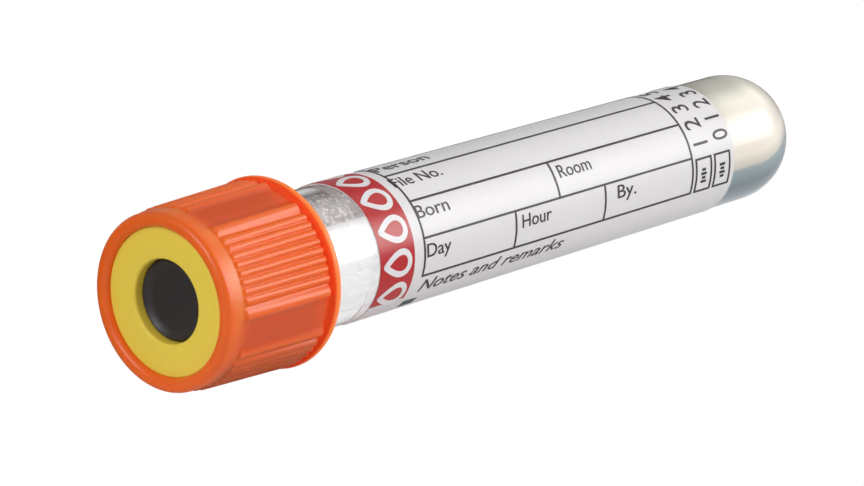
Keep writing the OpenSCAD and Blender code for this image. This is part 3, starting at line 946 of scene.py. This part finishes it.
def make_wrap_group():
    """Wraps flat geometry (along in mm, minus the angle in degrees, height) on the tube's cone."""
    tree, size, result = geometry_tree("wrap_on_tube", {
        "Mouth radius": MOUTH_R, "Mouth height": MOUTH_Z, "Draft": DRAFT, "Lift": LABEL_HIGH})
    flat = split(node(tree, "GeometryNodeInputPosition"))
    wall = size["Mouth radius"] - size["Draft"] * (flat["X"] - size["Mouth height"])
    radius = wall + size["Lift"] + flat["Z"]
    angle = (flat["Y"] * -1.0).math("RADIANS")
    wrapped = vector(tree, radius * angle.math("COSINE"), radius * angle.math("SINE"), flat["X"])
    moved = node(tree, "GeometryNodeSetPosition", size["Geometry"], Position=wrapped)
    put(moved, result["Geometry"])
    return tree


def make_row_group():
    """One row of the form: its lines, and a divider at each end of each cell."""
    tree, size, result = geometry_tree("ruled_row", {
        "Length": FORM_LENGTH, "Cells": 3, "Height": ROW_ANGLE, "Lines": 1,
        "Line width": LINE_WIDTH, "Line angle": LINE_ANGLE, "Ink": INK}, geometry_in=False)
    long_side = size["Length"] + size["Line width"]
    line = node(tree, "GeometryNodeMeshCube",
                vector(tree, long_side, size["Line angle"], size["Ink"]))
    places = node(tree, "GeometryNodeMeshLine", size["Lines"], None,
                  vector(tree, size["Length"] * 0.5), vector(tree, 0.0, size["Height"]))
    divider = node(tree, "GeometryNodeMeshCube",
                   vector(tree, size["Line width"], size["Height"], size["Ink"]), 2, 16, 2)
    posts = node(tree, "GeometryNodeMeshLine", size["Cells"] + 1.0, None,
                 vector(tree, 0.0, size["Height"] * 0.5),
                 vector(tree, size["Length"] / size["Cells"]))
    put(join(tree, node(tree, "GeometryNodeInstanceOnPoints", posts, None, divider),
             node(tree, "GeometryNodeInstanceOnPoints", places, None, line)), result["Geometry"])
    return tree


WRAP, ROW = make_wrap_group(), make_row_group()
print("form groups:", WRAP.name, "and", ROW.name)

# %% The ruled form and the two small boxes
BOX_ANGLE, BOX_WIDTH, BOX_GAP, ROW_CELLS = 29.5, 2.1, 0.55, (3, 2, 1, 1)


def wrap_and_finish(flat, result, lift, material):
    """Makes flat parts real, wraps them on the tube and ends the tree."""
    real = node(flat.tree, "GeometryNodeRealizeInstances", flat)
    wrapped = node(flat.tree, "GeometryNodeGroup", node_tree=WRAP, Geometry=real, Lift=lift)
    return finish_tree(wrapped, result, material)


def make_form_tree():
    tree, size, result = geometry_tree("ruled_form", {
        "Start": FORM_Z, "Length": FORM_LENGTH, "Low angle": FORM_LOW, "Row angle": ROW_ANGLE,
        "Box angle": BOX_ANGLE, "Box width": BOX_WIDTH, "Box gap": BOX_GAP,
        "Line width": LINE_WIDTH, "Line angle": LINE_ANGLE, "Ink": INK,
        "Material": "NodeSocketMaterial"}, geometry_in=False)

    def row(x, y, **values):
        """One row of cells, with its low corner at a place."""
        drawn = node(tree, "GeometryNodeGroup", node_tree=ROW, Line_width=size["Line width"],
                     Line_angle=size["Line angle"], Ink=size["Ink"], **values)
        return node(tree, "GeometryNodeTransform", drawn, Translation=vector(tree, x, y))

    low = size["Low angle"] * -1.0
    rows = [row(size["Start"], low + size["Row angle"] * float(i), Length=size["Length"],
                Cells=cells, Height=size["Row angle"], Lines=2 if i == 3 else 1)
            for i, cells in enumerate(ROW_CELLS)]
    pitch = size["Box width"] + size["Box gap"]
    first = size["Start"] + (size["Length"] + size["Box gap"])
    boxes = [row(first + pitch * float(i), low, Length=size["Box width"], Cells=1,
                 Height=size["Box angle"], Lines=2) for i in (0, 1)]
    flat = join(tree, *rows, *boxes)
    return wrap_and_finish(flat, result, LABEL_HIGH + INK / 2, size["Material"])


form_mesh = run_tree(make_form_tree(), {"Material": dark_ink})
add_piece("ruled_form", form_mesh, "tube_body", "dark_ink", dark_ink, "label_ruled_form")

# %% [markdown]
# ## Drops on the red band
# The band carries a row of white drops, drawn as outlines. A circle becomes a drop when its points
# move closer to the middle line the nearer they are to the tip. A flat profile swept along that
# curve gives the stroke, and the drops repeat around the band.

# %% The white drops
DROP_INK = 0.03


def make_drop_tree():
    tree, size, result = geometry_tree("drops_on_band", {
        "Count": 7, "Pitch": 28.0, "First angle": 117.0, "Middle": LABEL_Z + BAND_WIDTH / 2,
        "Half length": 1.6, "Half width": 1.35, "Tip power": 0.55, "Stroke": 0.56,
        "Ink": DROP_INK, "Degrees per mm": 8.9, "Material": "NodeSocketMaterial"},
        geometry_in=False)
    circle = node(tree, "GeometryNodeCurvePrimitiveCircle", 64, Radius=1.0)
    flat = split(node(tree, "GeometryNodeInputPosition"))
    narrow = ((flat["X"] + 1.0) * 0.5).math("MAXIMUM", 0.0) ** size["Tip power"]
    bent = vector(tree, flat["X"] * size["Half length"], flat["Y"] * narrow * size["Half width"])
    drop = node(tree, "GeometryNodeSetPosition", circle, Position=bent)
    outline = node(tree, "GeometryNodeCurvePrimitiveQuadrilateral", size["Stroke"], size["Ink"])
    stroke = node(tree, "GeometryNodeCurveToMesh", drop, outline)
    stretched = node(tree, "GeometryNodeTransform", stroke,
                     Scale=vector(tree, 1.0, size["Degrees per mm"], 1.0))
    places = node(tree, "GeometryNodeMeshLine", size["Count"], None,
                  vector(tree, size["Middle"], size["First angle"] * -1.0),
                  vector(tree, 0.0, size["Pitch"]))
    drops = node(tree, "GeometryNodeInstanceOnPoints", places, None, stretched)
    return wrap_and_finish(drops, result, LABEL_HIGH + INK + DROP_INK / 2, size["Material"])


drop_mesh = run_tree(make_drop_tree(), {"Material": white_ink})
drops = add_piece("white_drops", drop_mesh, "tube_body", "label_film", white_ink)
drops.data.shade_flat()

# %% [markdown]
# ## Words
# The form's words are plain ones. Blender's own letters are set flat, sliced into narrow strips so
# that they can bend, and wrapped with the same rule as the form, but in Python, because a text
# object can't pass through a mesh tree.

# %% Words and numbers on the label
WORD_RISE, BOLD, STRIP = 0.03, 0.005, 0.3


def letters_mesh(text, size, slant, width):
    """Flat letters, stretched to a given length."""
    curve = bpy.data.curves.new("letters", "FONT")
    curve.body, curve.size, curve.shear = text, size, slant
    curve.extrude, curve.offset, curve.resolution_u = WORD_RISE / 2, BOLD, 4
    holder = add_object("letters", curve)
    bpy.context.view_layer.update()
    mesh = plain_mesh(holder)
    span = max(v.co.x for v in mesh.vertices) - min(v.co.x for v in mesh.vertices)
    mesh.transform(Matrix.Scale(width / span, 4, (1, 0, 0)))
    return mesh


def wrapped_words(words):
    """Each word: text, letter height, slant, length, place along, angle, and if it runs around."""
    build = bmesh.new()
    for text, size, slant, width, z, angle, around in words:
        piece = bmesh.new()
        piece.from_mesh(letters_mesh(text, size, slant, width))
        bmesh.ops.remove_doubles(piece, verts=piece.verts, dist=1e-5)
        bend_way = Vector((1, 0, 0)) if around else Vector((0, 1, 0))
        reach = max(v.co.dot(bend_way) for v in piece.verts)
        for i in range(-3, round(reach / STRIP) + 1):
            bmesh.ops.bisect_plane(piece, geom=everything(piece), plane_co=bend_way * i * STRIP,
                                   plane_no=bend_way)
        for vert in piece.verts:
            x, y, up = vert.co
            h = z - y if around else z + x
            wall = tube_r(h)
            a = math.radians(angle) - (x if around else y) / wall
            r = wall + LABEL_HIGH + up + WORD_RISE / 2
            vert.co = (r * math.cos(a), r * math.sin(a), h)
        build.from_mesh(as_mesh(piece, "word"))
    return tidy(build)


add_piece("lettering", wrapped_words([
    ("Person", 1.9, 0, 7.0, 27.4, 1.5, False),
    ("File No.", 1.75, 0, 6.4, 26.8, 27.0, False),
    ("Born", 1.75, 0, 4.3, 27.1, 58.5, False),
    ("Room", 1.75, 0, 4.4, 46.4, 59.0, False),
    ("Day", 1.75, 0, 3.2, 27.4, 91.0, False),
    ("Hour", 1.75, 0, 4.0, 40.3, 90.5, False),
    ("By.", 1.75, 0, 2.6, 53.5, 90.0, False),
    ("Notes and remarks", 1.9, 0.3, 19.6, 27.3, 123.5, False),
    ("1 2 3 4 5", 2.9, 0, 8.3, 67.0, 70.0, True),
    ("0 1 2 3 4 5", 2.9, 0, 9.6, 69.95, 66.5, True)]), "tube_body", "dark_ink", dark_ink)

# %% [markdown]
# ## Small marks
# Print too small to read is shown as short bars, and a green block stands for a printed mark beside
# the red band. Both are patches of the same kind as the film, only smaller.

# %% Bars in the boxes, and the green block
BAR_SIZES, BAR_ANGLE, BAR_PITCH, BARS_FROM = (0.5, 0.75), 2.4, 3.6, 86.0
PRINT_TOP = LABEL_HIGH + WORD_RISE
BLOCK_Z, BLOCK_LENGTH, BLOCK_FROM, BLOCK_SWEEP = LABEL_Z + 5.1, 1.8, 133.0, 9.0


def bars():
    """Four short bars in each of the two boxes, long and short in turn."""
    build = bmesh.new()
    for box in (0, 1):
        middle = FORM_Z + FORM_LENGTH + BOX_GAP + BOX_WIDTH / 2 + box * (BOX_WIDTH + BOX_GAP)
        for i in range(4):
            size = BAR_SIZES[(i + box) % 2]
            build.from_mesh(film_patch(middle - size / 2, size, BARS_FROM + BAR_PITCH * i,
                                       BAR_ANGLE, LABEL_HIGH, PRINT_TOP))
    return tidy(build)


add_piece("small_print", bars(), "tube_body", "dark_ink", dark_ink)
block = film_patch(BLOCK_Z, BLOCK_LENGTH, BLOCK_FROM, BLOCK_SWEEP, LABEL_HIGH, PRINT_TOP)
add_piece("green_block", block, "tube_body", "dark_ink", green_ink)

# %% [markdown]
# ## Dried additive
# A dry powder that helps the blood to clot is sprayed on the tube's inner wall, and shows as pale
# specks. Hundreds of specks want a scatter: points spread over the wall with a fixed seed, and a
# tiny squashed ball on each.

# %% Specks on the inner wall
POWDER_Z, POWDER_LENGTH, FULL_TURN = 14.4, 34.0, 359.9
SMALLEST, LARGEST = (0.5, 0.5, 0.15), (1.7, 1.3, 0.3)


def inner_patch(out_gap, in_gap):
    """A thin shell just inside the bare part of the wall."""
    return film_patch(POWDER_Z, POWDER_LENGTH, 0, FULL_TURN, -WALL - in_gap, -WALL - out_gap)


def make_speck_tree():
    tree, size, result = geometry_tree("dried_specks", {
        "Density": 0.8, "Seed": 7, "Speck radius": 0.04, "Material": "NodeSocketMaterial"})
    spread = node(tree, "GeometryNodeDistributePointsOnFaces", size["Geometry"],
                  Density=size["Density"], Seed=size["Seed"], out=None)
    speck = node(tree, "GeometryNodeMeshIcoSphere", size["Speck radius"], 1)
    turn = node(tree, "FunctionNodeRandomValue", (0.0, 0.0, 0.0), (0.0, 0.0, 6.28),
                data_type="FLOAT_VECTOR")
    twisted = node(tree, "FunctionNodeRotateRotation", spread["Rotation"], turn,
                   rotation_space="LOCAL")
    shape = node(tree, "FunctionNodeRandomValue", SMALLEST, LARGEST, data_type="FLOAT_VECTOR")
    specks = node(tree, "GeometryNodeInstanceOnPoints", spread["Points"], None, speck,
                  Rotation=twisted, Scale=shape)
    return finish_tree(specks, result, size["Material"])


# the specks' emission is a painted glow
powder = mottled("dried_powder", linear(236, 228, 226), 0.7, amount=0.05, size=0.0005,
                 Emission_Color=(0.9, 0.87, 0.86, 1.0), Emission_Strength=0.35)
speck_mesh = run_tree(make_speck_tree(), {"Material": powder}, inner_patch(0.003, 0.004))
add_piece("dried_specks", speck_mesh, "tube_body", "clear_plastic", powder)

# %% [markdown]
# Between the specks the powder is a haze, too fine to build grain by grain. A very thin shell with
# cloudy see-through spots shows it: pale on the whole, with a painted glow, and patchy and darker
# under the top of the wall as painted shade, where the light table doesn't reach.

# %% A veil of powder
# the second colour is painted shade, and the glow strength is a painted glow
VEIL, SHADED, SHADED_UP, VEIL_GLOW = linear(232, 224, 222), linear(120, 104, 102), (3.0, 4.4), 0.3
CLOUD_PITCH, PATCH_PITCH, VEIL_ALPHA, PATCH_ALPHA = 1400.0, 1900.0, (0.0, 0.13), (0.12, 0.38)
CLOUD_EDGE, PATCH_EDGE, DARK_EDGE = (0.45, 0.7), (0.35, 0.65), (0.62, 0.38)


def make_mist_shade_and_glow():
    """A thin veil of dried powder: white and patchy with a painted glow, and painted shade high up on
    the wall.
    """
    material, tree, skin = new_material("dried_mist")
    place = object_place(tree)
    clouds = node(tree, "ShaderNodeTexNoise", Vector=place, Scale=CLOUD_PITCH, Detail=5.0,
                  Roughness=0.7)
    patches = node(tree, "ShaderNodeTexNoise", Vector=place, Scale=PATCH_PITCH, Detail=4.0,
                   Roughness=0.65)
    shaded = tube_space(tree)["Up"].ramp(*SHADED_UP)
    # painted shade: dark patches high up on the wall
    color = (patches.ramp(*DARK_EDGE) * shaded).blend(VEIL, SHADED)
    shade_share = patches.ramp(*PATCH_EDGE, *PATCH_ALPHA) * shaded
    fill(skin, Base_Color=color, Emission_Color=color, Emission_Strength=VEIL_GLOW, Roughness=0.8,
         Alpha=clouds.ramp(*CLOUD_EDGE, *VEIL_ALPHA).math("MAXIMUM", shade_share))
    return material


add_piece("dried_mist", inner_patch(0.008, 0.012), "tube_body", "clear_plastic", make_mist_shade_and_glow())

# %% [markdown]
# ## The light table
# Small clear things are lit from all around. The tube lies on a white, softly glowing sheet, as on
# a light table, and a pale room surrounds it. In a studio such a sheet burns out to pure white, yet
# its light is kept from flooding the object. A Light Path node does the same: the sheet and the
# room are pure white where they are seen, and dimmer as lamps. Clear plastic also shows the white
# sheet, but above the horizon it shows a dark room, which gives its upper edges their grey.
# The floor is stage: it isn't part of the object.

# %% The floor
FLOOR_R, FLOOR_Z, FAR_SIDE = 6.0, -0.0002, (0.03, 0.0)
PAPER, FAR_PAPER, SEEN_WHITE = (0.8, 0.8, 0.8, 1.0), (0.2, 0.2, 0.2, 1.0), 1.02


def light_path(tree):
    return node(tree, "ShaderNodeLightPath", out=None)


def make_floor():
    build = bmesh.new()
    bmesh.ops.create_circle(build, cap_ends=True, radius=FLOOR_R, segments=96)
    bmesh.ops.translate(build, verts=build.verts, vec=(0, 0, FLOOR_Z))
    material, tree, skin = new_material("light_table")
    lit_side = split(object_place(tree))["Y"].ramp(*FAR_SIDE)
    fill(skin, Base_Color=lit_side.blend(FAR_PAPER, PAPER), Roughness=0.8, Specular_IOR_Level=0.0)
    white = node(tree, "ShaderNodeEmission", WHITE, SEEN_WHITE)
    rays = light_path(tree)
    seen = rays["Is Camera Ray"].math("MAXIMUM", rays["Is Transmission Ray"])
    both = node(tree, "ShaderNodeMixShader", seen, Out(skin.outputs[0]), white)
    fill(tree.nodes["Material Output"], Surface=both)
    mesh = as_mesh(build, "light_table")
    mesh.materials.append(material)
    floor = add_object("light_table", mesh)
    return floor


print("floor:", make_floor().name, "is", 2 * FLOOR_R, "m across")

# %% The room
ROOM_GLOW, CEILING_GLOW, DARK_ABOVE, ABOVE = 0.4, 0.3, 0.08, (0.0, 0.3)


def make_room():
    room = bpy.data.worlds.new("pale_room")
    room.use_nodes = True
    tree = room.node_tree
    rays = light_path(tree)
    way = node(tree, "ShaderNodeTexCoord", out=None)["Generated"]
    above = split(way)["Z"].ramp(*ABOVE)
    lit = above.math("MULTIPLY_ADD", CEILING_GLOW - ROOM_GLOW, ROOM_GLOW)
    through = above.math("MULTIPLY_ADD", DARK_ABOVE - SEEN_WHITE, SEEN_WHITE)
    dim = tree.nodes["Background"]
    fill(dim, Color=WHITE, Strength=lit)
    clear_view = node(tree, "ShaderNodeBackground", WHITE, through)
    white = node(tree, "ShaderNodeBackground", WHITE, SEEN_WHITE)
    lamps = node(tree, "ShaderNodeMixShader", rays["Is Transmission Ray"], Out(dim.outputs[0]),
                 clear_view)
    both = node(tree, "ShaderNodeMixShader", rays["Is Camera Ray"], lamps, white)
    fill(tree.nodes["World Output"], Surface=both)
    bpy.context.scene.world = room
    return room


print("world:", make_room().name, "glows at", ROOM_GLOW)

# %% [markdown]
# ## Lamps
# A rounded glossy thing shows a lamp where its surface faces halfway between the lamp and the eye.
# So each lamp is placed by the direction it shines from, as a turn around the tube's middle and a
# height. A lamp that fades towards its rim gives a highlight with soft edges.

# %% Soft lamps
LAMP_FADE, SOFT_EDGE_GAIN, LAMP_DISTANCE = (0.5, 0.05), 3.0, 0.8


def direction(turn, height):
    """The direction with a turn from +X towards +Y and a height, both in degrees."""
    turn, height = math.radians(turn), math.radians(height)
    return Vector((math.cos(height) * math.cos(turn), math.cos(height) * math.sin(turn),
                   math.sin(height)))


def soft_lamp(name, turn, height, size, power):
    """A square area lamp, by the turn and height in degrees that it shines from."""
    way = direction(turn, height)
    data = bpy.data.lights.new(name, "AREA")
    data.size, data.energy = size, power
    data.use_nodes = True
    tree = data.node_tree
    place = node(tree, "ShaderNodeNewGeometry", out=None)["Parametric"]
    off_middle = vector_sum(tree, "SUBTRACT", place, (0.5, 0.5, 0.0))
    from_middle = vector_sum(tree, "LENGTH", off_middle, out=1)
    fill(tree.nodes["Emission"], Strength=from_middle.ramp(*LAMP_FADE, 0.0, SOFT_EDGE_GAIN))
    lamp = add_object(name, data)
    lamp.location = (cad_low + cad_high) / 2 + way * LAMP_DISTANCE
    lamp.rotation_euler = way.to_track_quat("Z", "Y").to_euler()
    lamp.visible_camera = False
    return lamp


soft_lamp("key_lamp", -45, 20, 0.9, 5.2)
soft_lamp("front_lamp", 180, 35, 0.7, 3.1)
soft_lamp("back_lamp", 0, 35, 0.7, 0.6)
print("lamps:", [lamp.name for lamp in bpy.data.lights])

# %% [markdown]
# ## The camera
# A long lens from the cap's side, looking down a little. A long lens keeps the far end of the tube
# almost as large as the near one.

# %% Camera
LENS, SENSOR, DISTANCE, CLIP = 340.565, 36.0, 0.710996, (0.05, 20.0)
LOOK_TURN, LOOK_DOWN = 42.13, 18.99
AIM_RIGHT, AIM_UP, AIM_ALONG = 0.023441, 0.005219, 0.00025


def make_camera():
    forward = direction(LOOK_TURN, -LOOK_DOWN)
    right = direction(LOOK_TURN - 90, 0)
    up = right.cross(forward)
    aim = crest + along * AIM_ALONG + right * AIM_RIGHT + up * AIM_UP
    data = bpy.data.cameras.new("camera")
    data.lens, data.sensor_width = LENS, SENSOR
    data.clip_start, data.clip_end = CLIP
    camera = add_object("camera", data)
    camera.matrix_world = (Matrix.Translation(aim - forward * DISTANCE)
                           @ Matrix((right, up, -forward)).transposed().to_4x4())
    bpy.context.scene.camera = camera
    return camera


camera = make_camera()
bpy.context.scene.view_settings.view_transform = "Standard"
print("camera stands", round(DISTANCE, 2), "m away with a", round(LENS), "mm lens")
